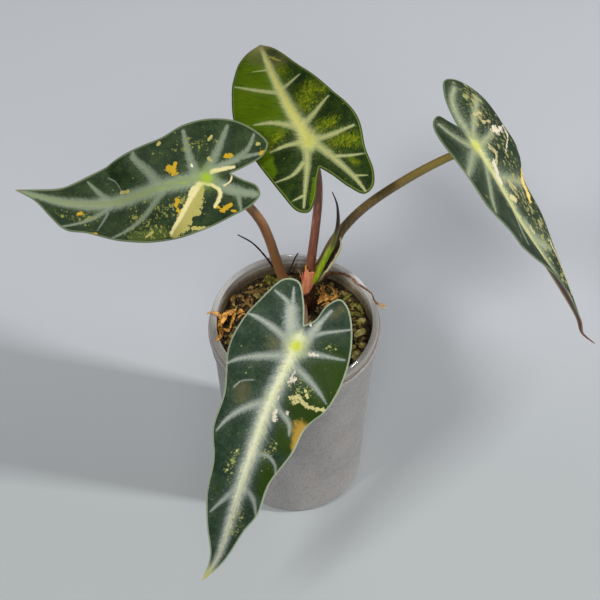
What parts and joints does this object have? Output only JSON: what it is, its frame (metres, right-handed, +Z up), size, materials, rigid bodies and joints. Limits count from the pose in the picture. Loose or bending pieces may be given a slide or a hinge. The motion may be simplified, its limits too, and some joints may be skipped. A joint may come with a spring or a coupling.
{
  "type": "potted alocasia plant",
  "caption": "Small variegated alocasia with long dark arrow-shaped leaves, pale veins and a rolled new leaf, in a clear grow pot set in a frosted cup.",
  "frame": {"origin": "centre of the cup's flat base, on the surface that the plant stands on", "axes": "+Z up; -Y towards the side over which the front leaf hangs; +X towards the leaf on the tall arching stalk at the right"},
  "size_m": [0.2537, 0.2043, 0.2368],
  "materials": {
    "frosted_cup": "satin",
    "clear_pot": "gloss",
    "soil": "matte",
    "leaf_dark": "satin",
    "leaf_lime": "satin",
    "leaf_speckled": "satin",
    "stalk_brown": "satin",
    "stalk_olive": "satin",
    "shoot": "satin",
    "sheath": "satin",
    "crown": "matte",
    "dried_fibre": "matte",
    "moss_orange": "matte",
    "moss_green": "matte",
    "chip": "matte",
    "dry_root": "matte"
  },
  "bodies": {
    "root": {"outer_cup": "frosted_cup", "inner_pot": "clear_pot", "potting_mix": "soil", "blade_front": "leaf_dark", "blade_left": "leaf_dark", "blade_back": "leaf_lime", "blade_right": "leaf_speckled", "petiole_front": "stalk_brown", "petiole_left": "stalk_brown", "petiole_back": "stalk_brown", "petiole_right": "stalk_olive", "new_leaf": "shoot", "dried_edge": "dried_fibre", "cataphyll": "sheath", "crown": "crown", "moss_loop_left": "moss_orange", "moss_strand_left": "moss_orange", "moss_bits_left": "moss_orange", "moss_star_right": "moss_orange", "moss_curl_right": "moss_green", "moss_tuft_left": "moss_green", "moss_tuft_right": "moss_green", "chip_1": "chip", "chip_2": "chip", "chip_3": "chip", "chip_4": "chip", "chip_5": "chip", "chip_6": "chip", "chip_7": "chip", "chip_8": "chip", "chip_9": "chip", "chip_10": "chip", "chip_11": "chip", "chip_12": "chip", "root_on_rim": "dry_root", "dry_fibre_left": "dried_fibre", "dry_fibre_back": "dried_fibre"}
  },
  "joints": []
}
